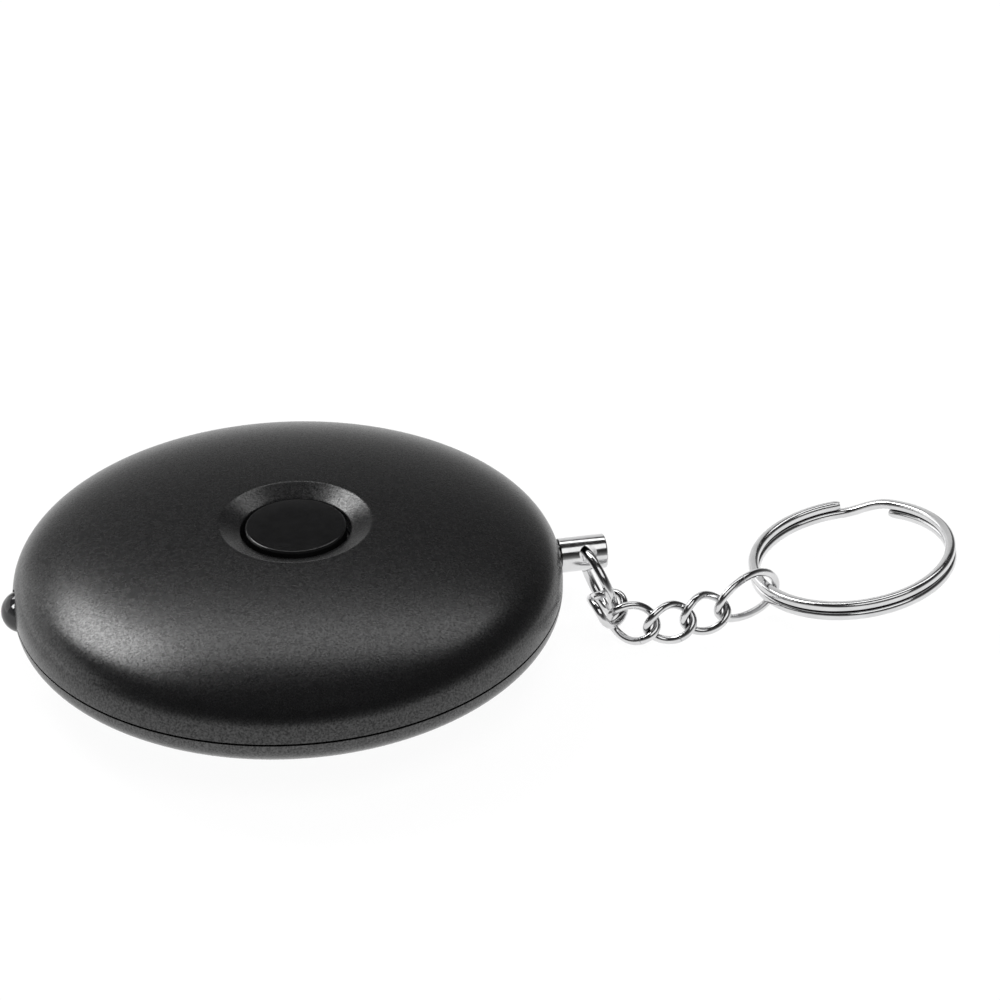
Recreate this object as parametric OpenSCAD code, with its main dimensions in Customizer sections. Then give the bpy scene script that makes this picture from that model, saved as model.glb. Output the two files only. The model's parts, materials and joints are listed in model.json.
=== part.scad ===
// Personal safety alarm: a round two-shell case with a push button, a lamp, a siren,
// and a pull pin that hangs on a short twisted chain from a split key ring.
// Millimetres. The origin is the centre of the flat underside, +Z is up, +X is the way the pin pulls.

/* [Case] */
// Outside diameter of the round case
case_d = 63; // [60:0.5:70]
// Height of the parting line above the underside
part_z = 8.9; // [8.7:0.1:10]
// Height of the dome above the parting line
dome_h = 8.2; // [8:0.1:9]
// Wall thickness of both shells
wall = 1.6; // [1.4:0.1:1.8]
// Exponent of the dome's curve, smaller is boxier
dome_power = 0.31; // [0.28:0.01:0.36]
// Exponent of the lower shell's curve
bowl_power = 0.62; // [0.55:0.01:0.66]
// Depth by which the curved underside is cut flat to stand on
foot_cut = 0.3; // [0.2:0.05:0.5]
// Height of the groove that shows as the parting line
seam_gap = 0.2; // [0.1:0.05:0.4]
// Depth of the parting groove
seam_depth = 0.5; // [0.3:0.1:0.8]
// Height of the locating lip inside the seam
lip_h = 0.9; // [0.6:0.1:1]
// Thickness of the locating lip
lip_t = 0.8; // [0.6:0.1:1.2]
// Distance from the lip to the lower shell's wall at the seam
lip_inset = 0.45; // [0.4:0.05:0.6]

/* [Button] */
// Distance of the button's centre from the case's centre, towards the pin
button_x = 1; // [0:0.5:2]
// Radius of the button's cap
button_r = 5.8; // [5:0.1:6]
// Distance from the dome's apex down to the button's face
button_sink = 0.75; // [0.5:0.05:1]
// Thickness of the button's face
button_t = 1.6; // [1.2:0.1:1.8]
// Rounding of the button's edge
button_round = 0.35; // [0.2:0.05:0.6]
// Gap between the cap and its hole
button_gap = 0.5; // [0.3:0.05:0.6]
// Travel of the button
button_travel = 0.7; // [0.4:0.1:0.8]
// How far the retaining flange stands out past the hole
flange_reach = 1.1; // [0.8:0.1:1.4]
// Thickness of the retaining flange
flange_t = 1; // [0.8:0.1:1.2]
// Clearance of the flange in its guide and under the case
flange_gap = 0.15; // [0.1:0.05:0.25]
// Thickness of the button's skirt
skirt_t = 0.9; // [0.7:0.1:1]
// Depth of the recess around the button
recess_depth = 1.6; // [1.4:0.1:1.8]
// Slope of the recess wall from level
recess_slope = 35; // [30:1:45]
// Rounding of the recess's outer edge
recess_round = 1.2; // [0.8:0.1:1.4]
// Thickness of the case around the button hole
recess_floor = 1.5; // [1.2:0.1:1.8]

/* [Lamp] */
// Radius of the lamp's dome
lamp_r = 2.45; // [1.5:0.05:2.6]
// How far the dome stands out of the case
lamp_out = 1.4; // [1:0.1:2]
// Length of the lamp from its base to the start of the dome
lamp_len = 5.6; // [5:0.1:6]
// Radius and thickness of the lamp's base flange
lamp_flange_r = 2.9; // [2.8:0.05:3.2]
// Thickness of the lamp's base flange
lamp_flange_t = 1; // [0.8:0.1:1.2]
// Clearance of the lamp in its hole
lamp_gap = 0.1; // [0.05:0.05:0.2]
// Thickness of a lamp lead
lead_t = 0.5; // [0.4:0.05:0.6]
// Distance between the two lamp leads
lead_pitch = 2.54; // [2:0.02:2.54]

/* [Pull pin] */
// Radius of the pin's shank
pin_r = 1.5; // [1.4:0.05:1.7]
// Radius of the pin's head
head_r = 2.05; // [2:0.05:2.1]
// Gap between the head and the case's rim
head_gap = 0.7; // [0.5:0.1:0.9]
// Distance of the pin's axis below the parting line
pin_drop = 0.85; // [0.7:0.05:1.2]
// How far the pin stands out of the case
pin_out = 5.9; // [5.7:0.1:6.5]
// Length of the pin inside the case
pin_in = 15; // [14:0.5:16]
// Clearance of the pin in its socket
pin_gap = 0.1; // [0.05:0.05:0.1]
// Clearance of the pin in the case's hole
pin_hole_gap = 0.15; // [0.1:0.05:0.25]
// Radius of the pin's neck
neck_r = 1.1; // [1:0.05:1.3]
// Length of the pin's neck
neck_len = 1.6; // [1.2:0.1:2]
// Radius of the cross hole for the first link
eye_r = 1.05; // [1:0.05:1.15]
// Distance of the cross hole from the case's rim
eye_out = 3.5; // [3.3:0.1:3.7]
// Tilt of the cross hole above level
eye_tilt = 28; // [26:1:30]

/* [Chain and ring] */
// Wire diameter of the links
wire_d = 0.9; // [0.8:0.05:0.95]
// Running gap between hooked links
link_gap = 0.25; // [0.2:0.05:0.35]
// Half length of a curb link's wire line
link_a = 2.8; // [2.7:0.05:3]
// Half width of a curb link's wire line
link_b = 2.1; // [2:0.05:2.2]
// Twist of a curb link from its middle to each end
link_twist = -36; // [-40:1:-34]
// Wire diameter of the round pin link
pin_link_wire = 1.05; // [1:0.05:1.1]
// Radius of the pin link's wire line
pin_link_r = 4.25; // [4.1:0.05:4.3]
// How far the pin link's end lies past the cross hole's axis
pin_link_seat = 0.38; // [0.34:0.01:0.42]
// Swing of the pin link from the pin's axis
pin_link_swing = 70.5; // [68:0.5:72]
// Half length of the ring link's wire line
ring_link_a = 4.6; // [4.5:0.05:4.8]
// Half width of the ring link's wire line
ring_link_b = 2.6; // [2.5:0.05:2.7]
// Twist of the ring link from its middle to each end
ring_link_twist = -10; // [-14:1:-6]
// Outside diameter of the split ring
ring_d = 24.7; // [22:0.1:28]
// Width of the ring's wire
ring_wire_w = 1.24; // [1.1:0.02:1.3]
// Thickness of the ring's wire
ring_wire_t = 0.94; // [0.8:0.02:0.96]
// Step between the ring's two turns
ring_step = 1.36; // [1.36:0.02:1.4]
// Distance from the ring link's end to the ring's wire
ring_seat = 1.95; // [1.9:0.05:2]

/* [Inside] */
// Distance of the board's underside below the parting line
board_drop = 0.6; // [0.4:0.1:0.8]
// Thickness of the circuit board
board_t = 1.2; // [1:0.1:1.6]
// Margin between the board's edge and the case's outside
board_margin = 7; // [6.5:0.1:8]
// Side of the square push switch
switch_w = 6.2; // [6:0.1:6.4]
// Height of the push switch's body
switch_h = 3.5; // [3.1:0.1:3.6]
// Height of the switch plunger above its body
plunger_h = 0.9; // [0.85:0.05:1]
// Radius of the switch plunger
plunger_r = 1.75; // [1.5:0.05:1.9]
// Radius of the siren's brass disc
siren_r = 12; // [11:0.1:12.4]
// Thickness of the brass disc
siren_t = 0.3; // [0.2:0.05:0.4]
// Radius of the siren's ceramic layer
ceramic_r = 8; // [7:0.1:9]
// Thickness of the ceramic layer
ceramic_t = 0.25; // [0.2:0.05:0.3]
// Height of the siren's seat above the underside
seat_z = 3.9; // [3.6:0.1:4.2]
// Thickness of the siren's seal
seal_t = 0.5; // [0.4:0.1:0.6]
// Width of the siren's seal and seat
seal_w = 1.4; // [1.2:0.1:1.8]
// Radius of a sound hole
sound_r = 1.1; // [0.8:0.1:1.3]
// Radius of a button cell
cell_r = 5.8; // [5.6:0.05:5.85]
// Height of a button cell
cell_h = 5.4; // [5:0.1:5.4]
// Distance of the cells' axis behind the case's centre
cell_y = 15; // [14.6:0.1:15.4]
// Distance of the cells' axis below the parting line
cell_drop = 0.5; // [0.3:0.1:0.5]
// Clearance between a cell and what holds it
cell_gap = 0.1; // [0.05:0.05:0.15]
// Length of the battery spring
spring_len = 3; // [2.8:0.1:3.4]
// Wire diameter of the battery spring
spring_wire = 0.6; // [0.5:0.05:0.6]
// Thickness of the contact plates
plate_t = 0.3; // [0.2:0.05:0.4]
// Thickness of the ribs
rib_t = 1.2; // [1:0.1:1.5]
// Radius of the screw posts
post_r = 3.2; // [3.1:0.1:3.4]
// Distance of the screw posts from the case's outside
post_margin = 8.9; // [8.6:0.1:9.4]
// Radius of the screws' threads
screw_r = 1; // [0.9:0.05:1.05]
// Radius of the screws' heads
screw_head_r = 2; // [1.8:0.05:2.1]
// Height of the screws' heads
screw_head_h = 1.3; // [1.1:0.1:1.5]
// Length of the screws under the head
screw_len = 8; // [7:0.5:8]
// Height of the screws' seat above the underside
screw_seat_z = 5; // [4.8:0.1:5.4]

/* [Hidden] */
$fn = 72;
case_r = case_d / 2;
bowl_h = part_z + foot_cut;
curve_step = 6;
bowl_round = 3;

// Button heights and radii
button_top = part_z + dome_h - button_sink;
hole_r = button_r + button_gap;
recess_z = part_z + dome_h - recess_depth;
collar_z = recess_z - recess_floor;
flange_r = hole_r + flange_reach;
flange_top = collar_z - flange_gap;
flange_z = flange_top - flange_t;
guide_r = flange_r + flange_gap;
guide_t = 1.3;
guide_z = flange_z - button_travel - flange_gap;
skirt_r = button_r - skirt_t;
land_r = hole_r + 0.15;
rim_z = part_z + dome_h * pow(1 - pow((land_r + recess_round) / case_r, 2), dome_power);

// Board stack
board_z = part_z - board_drop;
board_top = board_z + board_t;
board_r = case_r - board_margin;
switch_top = board_top + switch_h;
plunger_top = switch_top + plunger_h;
plunger_r_post = plunger_r + 0.2;

// Lamp and pin
lamp_tip = case_r + lamp_out;
lamp_base = lamp_tip - lamp_r - lamp_len;
pin_z = part_z - pin_drop;
pin_len = pin_in + pin_out;
pin_tip_x = case_r - pin_in;
eye = [case_r + eye_out, 0, pin_z];

// Siren, cells and posts
siren_inset = 15.5;
siren_at = [-2, siren_inset - board_r];
siren_gap = 0.2;
siren_z = seat_z + seal_t;
siren_top = siren_z + siren_t + ceramic_t;
seat_wall = 1;
cell_count = 3;
cell_slit = 0.06;
cell_z = part_z - cell_drop;
stack_len = cell_count * cell_h + (cell_count - 1) * cell_slit;
stack_x = 1 - stack_len / 2;
stack_end = stack_x + stack_len;
post_polar = case_r - post_margin;
post_angles = [40, 140, 214, 326];
peg_r = 1.4;
peg_inset = 1.7;
peg_spots = [[12.5, 6], [-12.5, 6], [4, peg_inset - board_r]];
board_back = cell_y - cell_r - 1.4;
socket_back = 2;
socket_front = 8.5;
socket_x = [pin_tip_x - socket_back, pin_tip_x + socket_front];
socket_w = 6.8;
socket_under = 2.9;
socket_h = 5.8;
bump_back = 3.1;
bump_x = pin_tip_x + bump_back;
lead_bend = lamp_base - 2.6;
lead_run = 4.2;
lead_end = lead_run - lead_bend;

// Curves of the case, from the rim to the axis
function dome_line(r, h) =
    [for (t = [0 : curve_step : 90]) [r * sqrt(1 - pow(sin(t), 1 / dome_power)), h * sin(t)]];
function bowl_at(r, h, depth) = r * pow(1 - pow(depth / h, 1 / bowl_power), 1 / bowl_round);
function bowl_line(r, h, floor) = concat(
    [for (t = [0 : curve_step : 84]) if (h * sin(t) < floor) [bowl_at(r, h, h * sin(t)), -h * sin(t)]],
    [[bowl_at(r, h, floor), -floor], [0, -floor]]);
function backwards(list) = [for (i = [len(list) - 1 : -1 : 0]) list[i]];
function arc(c, r, from, to, steps) =
    [for (i = [0 : steps]) let (t = from + (to - from) * i / steps) c + r * [cos(t), sin(t)]];

// Directions and frames of the chain
function unit(v) = v / norm(v);
function aim(heading, slope) = [cos(slope) * cos(heading), cos(slope) * sin(heading), sin(slope)];
function level(x) = unit(cross([0, 0, 1], x));
function rolled(x, roll) = cos(roll) * level(x) + sin(roll) * cross(x, level(x));

// A twisted oval wire line with length axis x and width axis y: one point, its direction, the whole line
function oval_at(x, y, a, b, twist, t) =
    let (w = twist * cos(t))
    a * cos(t) * x + b * sin(t) * (cos(w) * y + sin(w) * cross(x, y));
function oval_way(x, y, a, b, twist, t) =
    unit(oval_at(x, y, a, b, twist, t + 0.1) - oval_at(x, y, a, b, twist, t - 0.1));
function oval(c, x, y, a, b, twist, rings) =
    [for (i = [0 : rings - 1]) c + oval_at(x, y, a, b, twist, 360 * i / rings)];

// Rings of points around a wire line, flattened by w and h, with u pointing away from the centre c
function wire_points(line, c, axis, w, h, sides, closed) =
    [for (i = [0 : len(line) - 1])
        let (n = len(line),
             ahead = closed ? line[(i + 1) % n] : line[min(i + 1, n - 1)],
             behind = closed ? line[(i + n - 1) % n] : line[max(i - 1, 0)],
             t = unit(ahead - behind),
             out = line[i] - c,
             flat = out - axis * (out * axis),
             u = unit(flat - t * (flat * t)),
             v = cross(t, u))
        for (k = [0 : sides - 1])
            line[i] + u * w / 2 * cos(360 * (k + 0.5) / sides) + v * h / 2 * sin(360 * (k + 0.5) / sides)];
function wire_faces(rings, sides, closed) = concat(
    [for (i = [0 : rings - (closed ? 1 : 2)], k = [0 : sides - 1], half = [0, 1])
        let (a = i * sides + k, b = i * sides + (k + 1) % sides,
             c = ((i + 1) % rings) * sides + k, d = ((i + 1) % rings) * sides + (k + 1) % sides)
        half == 0 ? [a, b, c] : [b, d, c]],
    closed ? [] : [for (k = [1 : sides - 2]) [0, k + 1, k]],
    closed ? [] : [for (k = [1 : sides - 2]) (rings - 1) * sides * [1, 1, 1] + [0, k, k + 1]]);
module wire(line, c, axis, w, h, sides, closed) {
    polyhedron(wire_points(line, c, axis, w, h, sides, closed), wire_faces(len(line), sides, closed));
}
// Least gap of a wound wire to itself, leaving out neighbours within half a turn
function least_gap(line, apart, thick) =
    min([for (i = [0 : len(line) - 1], j = [i + apart : 1 : len(line) - 1]) norm(line[i] - line[j])]) - thick;

// The chain's lay: heading, slope and roll of each link in turn
lay = [[-112, -1.5, -22], [-26, -5, 66], [2, 5, 70], [12, 5, 61], [26, 0, 86]];
lay_x = [for (p = lay) aim(p[0], p[1])];
lay_y = [for (i = [0 : len(lay) - 1]) rolled(lay_x[i], lay[i][2])];
hook = wire_d + link_gap;
pin_hook = (wire_d + pin_link_wire) / 2 + link_gap;
link_rings = 36;
link_sides = 8;

// The pin link swings about the cross hole's axis
eye_axis = [0, -cos(eye_tilt), sin(eye_tilt)];
eye_down = [0, -sin(eye_tilt), -cos(eye_tilt)];
pin_link_x = cos(pin_link_swing) * [1, 0, 0] + sin(pin_link_swing) * eye_down;
pin_link_c = eye + (pin_link_r - pin_link_seat) * pin_link_x;
function pin_link_at(t) = oval_at(pin_link_x, eye_axis, pin_link_r, pin_link_r, 0, t);
function pin_link_way(t) = oval_way(pin_link_x, eye_axis, pin_link_r, pin_link_r, 0, t);
function curb_at(i, t) = oval_at(lay_x[i], lay_y[i], link_a, link_b, link_twist, t);
function curb_way(i, t) = oval_way(lay_x[i], lay_y[i], link_a, link_b, link_twist, t);

// The first two curb links hang square to the wire they cross, at these angles round each link
hang_pin = 49;
hang_1 = 114;
hang_2 = 131;
side_1 = 87.5;
link_1 = pin_link_c + pin_link_at(hang_pin) - curb_at(0, hang_1)
    - pin_hook * unit(cross(pin_link_way(hang_pin), curb_way(0, hang_1)));
link_2 = link_1 + curb_at(0, side_1) - curb_at(1, hang_2)
    + hook * unit(cross(curb_way(0, side_1), curb_way(1, hang_2)));

// Each further link hooks into the end of the one before
link_3 = link_2 + link_a * (lay_x[1] + lay_x[2]) - hook * unit(lay_x[1] + lay_x[2]);
link_4 = link_3 + link_a * (lay_x[2] + lay_x[3]) - hook * unit(lay_x[2] + lay_x[3]);
link_5 = link_4 + link_a * lay_x[3] + ring_link_a * lay_x[4] - hook * unit(lay_x[3] + lay_x[4]);
curb_centres = [link_1, link_2, link_3, link_4];
ring_link_end = link_5 + ring_link_a * lay_x[4];

// The split ring leans on the last link
ring_lean = 10;
ring_lean_way = 155;
ring_heading = 8;
ring_n = aim(ring_lean_way, 90 - ring_lean);
ring_out = unit(aim(ring_heading, 0) - ring_n * (aim(ring_heading, 0) * ring_n));
ring_side = cross(ring_n, ring_out);
ring_line_r = (ring_d - ring_wire_w) / 2;
ring_c = ring_link_end - ring_seat * lay_x[4] + ring_line_r * ring_out;
ring_rings = 92;
jog_mid = 125;
jog_half = 15;
function ring_level(t) =
    ring_step / 2 * sin(90 * max(-1, min(1, (t - jog_mid) / jog_half)));
ring_line =
    [for (i = [0 : ring_rings])
        let (t = jog_mid - 360 + jog_half + (720 - 2 * jog_half) * i / ring_rings)
        ring_c + ring_line_r * (cos(t) * -ring_out + sin(t) * ring_side) + ring_level(t) * ring_n];
ring_apart = floor(ring_rings * 0.4);
echo(str("split ring least gap ", least_gap(ring_line, ring_apart, ring_wire_t)));

// The battery spring winds inwards from the plate to the cell
spring_turns = 2.5;
spring_rings = 20;
spring_wide = 4.2;
spring_slim = 2.2;
spring_end = 0.35;
spring_line =
    [for (i = [0 : spring_rings])
        let (s = i / spring_rings,
             t = 360 * spring_turns * s,
             r = spring_wide + (spring_slim - spring_wide) * s)
        [stack_x - spring_len + spring_end + (spring_len - 2 * spring_end) * s,
         cell_y + r * cos(t), cell_z + r * sin(t)]];
echo(str("battery spring least gap ", least_gap(spring_line, 5, spring_wire)));

// Solids that the ribs are clipped to, half a wall inside the outer faces
module dome_inside() {
    translate([0, 0, part_z])
        rotate_extrude() polygon(concat(dome_line(case_r - wall / 2, dome_h - wall / 2), [[0, 0]]));
}
module bowl_inside() {
    translate([0, 0, part_z])
        rotate_extrude()
            polygon(concat(bowl_line(case_r - wall / 2, bowl_h - wall / 2, part_z - wall / 2), [[0, 0]]));
}
module at_posts() {
    for (a = post_angles)
        translate([post_polar * cos(a), post_polar * sin(a), 0]) children();
}
module at_pegs() {
    for (p = peg_spots)
        translate([p[0], p[1], 0]) children();
}
module along_x(x, y, z) {
    translate([x, y, z]) rotate([0, 90, 0]) children();
}
module lamp_bore() {
    along_x(-case_r - wall, 0, part_z) cylinder(r = lamp_r + lamp_gap, h = 4 * wall);
}
module pin_bore() {
    along_x(case_r - 3 * wall, 0, pin_z) cylinder(r = pin_r + pin_hole_gap, h = 4 * wall);
}
// A pair of ribs across the cells, cut to their round shape
module cell_ribs(low, high) {
    for (x = [stack_x + cell_h * 0.8, stack_end - cell_h * 0.8])
        difference() {
            translate([x - rib_t / 2, cell_y - cell_r, low]) cube([rib_t, 2 * cell_r, high - low]);
            along_x(x - rib_t, cell_y, cell_z) cylinder(r = cell_r + cell_gap, h = 2 * rib_t);
        }
}
// The chamfered recess with its rounded outer edge, as a cutter
module recess_cut() {
    lift = rim_z - recess_round + recess_round * cos(recess_slope) - recess_z;
    round_x = land_r + recess_round * sin(recess_slope) + lift / tan(recess_slope);
    round_c = [round_x, rim_z - recess_round];
    above = part_z + dome_h + 1;
    translate([button_x, 0, 0])
        rotate_extrude()
            polygon(concat(
                [[0, above], [0, recess_z], [land_r, recess_z]],
                arc(round_c, recess_round, 90 + recess_slope, 90, 4),
                [[round_x, above]]));
}

module upper_shell() {
    lip_r = case_r - wall - lip_inset;
    tall = part_z + dome_h;
    slot_w = 5;
    slot_h = 0.8;
    slot_rise = 1.8;
    color("#1c1c1d")
    difference() {
        union() {
            translate([0, 0, part_z])
                rotate_extrude()
                    polygon(concat(
                        dome_line(case_r, dome_h),
                        backwards(dome_line(case_r - wall, dome_h - wall))));
            translate([0, 0, part_z - lip_h])
                difference() {
                    cylinder(r = lip_r, h = lip_h + wall);
                    translate([0, 0, -1]) cylinder(r = lip_r - lip_t, h = lip_h + wall + 2);
                }
            translate([0, 0, part_z])
                difference() {
                    cylinder(r = case_r - wall * 0.7, h = wall / 2);
                    translate([0, 0, -1]) cylinder(r = lip_r - lip_t, h = wall + 2);
                }
            intersection() {
                dome_inside();
                union() {
                    translate([button_x, 0, collar_z]) cylinder(r = guide_r + guide_t, h = dome_h);
                    translate([button_x, 0, guide_z])
                        difference() {
                            cylinder(r = guide_r + guide_t, h = dome_h);
                            translate([0, 0, -1]) cylinder(r = guide_r, h = dome_h + 2);
                        }
                    at_posts() translate([0, 0, part_z]) cylinder(r = post_r - 0.4, h = dome_h);
                    at_pegs() translate([0, 0, board_top]) cylinder(r = peg_r, h = dome_h);
                    cell_ribs(part_z + rib_t, tall);
                }
            }
        }
        recess_cut();
        translate([button_x, 0, collar_z - 1]) cylinder(r = hole_r, h = dome_h);
        at_posts()
            translate([0, 0, part_z - 1])
                cylinder(r = screw_r + 0.05, h = 1 + screw_seat_z + screw_len - part_z + 0.3);
        lamp_bore();
        pin_bore();
        // Sound slots low on the side away from the button's front
        for (a = [130, 143, 156])
            rotate([0, 0, a])
                translate([case_r - 2 * wall, -slot_w / 2, part_z + slot_rise])
                    cube([3 * wall, slot_w, slot_h]);
    }
}

module lower_shell() {
    rest_z = part_z - 0.3;
    sound_ring = 5;
    color("#222223")
    difference() {
        union() {
            translate([0, 0, part_z])
                rotate_extrude()
                    polygon(concat(
                        bowl_line(case_r, bowl_h, part_z),
                        backwards(bowl_line(case_r - wall, bowl_h - wall, bowl_h - wall - 0.01))));
            intersection() {
                bowl_inside();
                union() {
                    at_posts() cylinder(r = post_r, h = part_z);
                    at_pegs() cylinder(r = peg_r, h = board_z);
                    // Siren seat with its locating wall
                    translate([siren_at[0], siren_at[1], 0])
                        difference() {
                            cylinder(r = siren_r + siren_gap + seat_wall, h = siren_z + siren_t);
                            translate([0, 0, seat_z]) cylinder(r = siren_r + siren_gap, h = part_z);
                            translate([0, 0, -1]) cylinder(r = siren_r - seal_w, h = part_z);
                        }
                    cell_ribs(0, cell_z - rib_t);
                    // End walls that back the contact plates
                    for (x = [stack_x - spring_len - plate_t - rib_t, stack_end + plate_t])
                        translate([x, cell_y - cell_r, 0]) cube([rib_t, 2 * cell_r, rest_z]);
                    // Saddles under the pin socket
                    for (x = [socket_x[0] + 1, socket_x[1] - 3])
                        translate([x, -socket_w / 2, 0]) cube([rib_t, socket_w, pin_z - socket_under]);
                    // Saddle under the lamp
                    translate([-lamp_base - lamp_len / 2, -lamp_r, 0])
                        difference() {
                            cube([rib_t, 2 * lamp_r, part_z - lamp_r * 0.4]);
                            along_x(-1, lamp_r, part_z) cylinder(r = lamp_r + lamp_gap, h = rib_t + 2);
                        }
                }
            }
        }
        // Groove that shows as the parting line
        translate([0, 0, part_z - seam_gap])
            difference() {
                cylinder(r = case_r + 1, h = 1);
                translate([0, 0, -1]) cylinder(r = case_r - seam_depth, h = 3);
            }
        at_posts() {
            translate([0, 0, -1]) cylinder(r = screw_head_r + 0.3, h = screw_seat_z + 1);
            cylinder(r = screw_r + 0.25, h = part_z + 1);
        }
        // Sound holes under the siren
        translate([siren_at[0], siren_at[1], -1]) {
            cylinder(r = sound_r, h = seat_z);
            for (a = [0 : 60 : 300])
                rotate([0, 0, a]) translate([sound_ring, 0, 0]) cylinder(r = sound_r, h = seat_z);
        }
        lamp_bore();
        pin_bore();
    }
}

module case_screws() {
    tip = 1;
    cross_w = 0.5;
    color("#a9abad")
    at_posts()
        translate([0, 0, screw_seat_z])
            difference() {
                rotate_extrude()
                    polygon([[0, -screw_head_h], [screw_head_r * 0.8, -screw_head_h],
                             [screw_head_r, -screw_head_h * 0.6], [screw_head_r, 0], [screw_r, 0],
                             [screw_r, screw_len - tip], [0, screw_len]]);
                for (a = [0, 90])
                    rotate([0, 0, a])
                        translate([-screw_r, -cross_w / 2, -screw_head_h - 1])
                            cube([2 * screw_r, cross_w, 1.6]);
            }
}

module push_button() {
    edge = [button_r - button_round, button_top - button_round];
    color("#19191a")
    translate([button_x, 0, 0])
        rotate_extrude()
            polygon(concat(
                [[0, plunger_top], [0, button_top]],
                arc(edge, button_round, 90, 0, 4),
                [[button_r, flange_top], [flange_r, flange_top], [flange_r, flange_z], [skirt_r, flange_z],
                 [skirt_r, button_top - button_t], [plunger_r_post, button_top - button_t],
                 [plunger_r_post, plunger_top]]));
}

module switch_plunger() {
    base = 0.6;
    color("#3a3a3c")
    translate([button_x, 0, switch_top - base]) cylinder(r = plunger_r, h = plunger_h + base);
}

module switch_body() {
    leg_w = 0.7;
    leg_t = 0.3;
    leg_out = 1.2;
    leg_pitch = 4.5;
    well = 1.7;
    color("#2b2b2d")
    difference() {
        union() {
            translate([button_x - switch_w / 2, -switch_w / 2, board_top])
                cube([switch_w, switch_w, switch_h]);
            for (y = [-leg_pitch / 2, leg_pitch / 2])
                translate([button_x - switch_w / 2 - leg_out, y - leg_w / 2, board_top])
                    cube([switch_w + 2 * leg_out, leg_w, leg_t]);
        }
        translate([button_x, 0, switch_top - well]) cylinder(r = plunger_r + 0.1, h = well + 1);
    }
}

module circuit_board() {
    notch = 0.4;
    lamp_notch = board_r - 3;
    color("#1f5a35")
    difference() {
        translate([0, 0, board_z]) cylinder(r = board_r, h = board_t);
        translate([-case_r, board_back, board_z - 1]) cube([case_d, case_r, board_t + 2]);
        translate([socket_x[0] - notch, -socket_w / 2 - notch, board_z - 1])
            cube([case_r, socket_w + 2 * notch, board_t + 2]);
        translate([-case_r, -lamp_flange_r - notch, board_z - 1])
            cube([case_r - lamp_notch, 2 * (lamp_flange_r + notch), board_t + 2]);
        at_posts() translate([0, 0, board_z - 1]) cylinder(r = post_r + notch, h = board_t + 2);
    }
}

module led_lamp() {
    color("#c9ced2")
    along_x(-lamp_base, 0, part_z)
        mirror([0, 0, 1])
            rotate_extrude()
                polygon(concat(
                    [[0, 0], [lamp_flange_r, 0], [lamp_flange_r, lamp_flange_t], [lamp_r, lamp_flange_t]],
                    arc([0, lamp_len], lamp_r, 0, 90, 12)));
}

module led_leads() {
    color("#b8babc")
    for (side = [-1, 1])
        translate([0, side * lead_pitch / 2 - lead_t / 2, 0]) {
            translate([-lamp_base, 0, part_z - lead_t / 2])
                cube([lamp_base - lead_bend + lead_t, lead_t, lead_t]);
            translate([-lead_bend, 0, part_z - lead_t / 2])
                cube([lead_t, lead_t, board_top + 1.5 * lead_t - part_z]);
            translate([-lead_bend, 0, board_top]) cube([lead_run, lead_t, lead_t]);
        }
}

module siren_disc() {
    color("#b08d3c")
    translate([siren_at[0], siren_at[1], siren_z]) cylinder(r = siren_r, h = siren_t);
}

module siren_ceramic() {
    color("#e4e0d4")
    translate([siren_at[0], siren_at[1], siren_z + siren_t]) cylinder(r = ceramic_r, h = ceramic_t);
}

module siren_seal() {
    color("#2a2a2a")
    translate([siren_at[0], siren_at[1], seat_z])
        difference() {
            cylinder(r = siren_r, h = seal_t);
            translate([0, 0, -1]) cylinder(r = siren_r - seal_w, h = seal_t + 2);
        }
}

// Two insulated leads from the siren up to the board
module siren_leads() {
    lead_d = 0.9;
    sway = 0.8;
    straight = 0.4;
    steps = 8;
    rim = (siren_r + ceramic_r) / 2;
    on_ceramic = [siren_at[0] + ceramic_r / 2, siren_at[1], siren_top];
    on_disc = [siren_at[0] + rim, siren_at[1], siren_z + siren_t];
    color("#8c1f1f")
    for (s = [on_ceramic, on_disc]) {
        rise = board_z - s[2] - 2 * straight;
        bow = [for (i = [0 : steps])
            s + [sway * (1 - cos(360 * i / steps)), 0, straight + rise * i / steps]];
        line = concat([s], bow, [[s[0], s[1], board_z]]);
        wire(line, s - [0, siren_r, 0], [0, 0, 1], lead_d, lead_d, 8, false);
    }
}

module pin_socket() {
    slot_len = 3.6;
    slot_w = 2.6;
    color("#30302f")
    difference() {
        translate([socket_x[0], -socket_w / 2, pin_z - socket_under])
            cube([socket_x[1] - socket_x[0], socket_w, socket_h]);
        along_x(socket_x[0] - 1, 0, pin_z) cylinder(r = pin_r + pin_gap, h = socket_x[1] - socket_x[0] + 2);
        translate([bump_x - slot_len / 2, -slot_w / 2, pin_z]) cube([slot_len, slot_w, socket_h]);
    }
}

// Sprung contact strip whose bump rides just clear of the pin
module pin_contact() {
    top = pin_z - socket_under + socket_h;
    low = pin_z + pin_r + pin_gap;
    strip_t = 0.3;
    strip_w = 2;
    reach = 1.4;
    flat = 0.3;
    under = [[socket_x[0] + 0.4, top], [bump_x - reach, top], [bump_x - flat, low], [bump_x + flat, low],
             [bump_x + reach, top], [socket_x[1] - 0.4, top]];
    over = [for (p = backwards(under)) p + [0, strip_t]];
    color("#c2a24e")
    translate([0, strip_w / 2, 0])
        rotate([90, 0, 0]) linear_extrude(strip_w) polygon(concat(under, over));
}

module button_cells() {
    rim = 0.5;
    cap = 0.4;
    color("#c7c9cb")
    for (i = [0 : cell_count - 1])
        along_x(stack_x + i * (cell_h + cell_slit), cell_y, cell_z)
            rotate_extrude()
                polygon([[0, 0], [cell_r - 2 * rim, 0], [cell_r - 2 * rim, cap], [cell_r - rim, cap],
                         [cell_r, cap + rim], [cell_r, cell_h], [0, cell_h]]);
}

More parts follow.
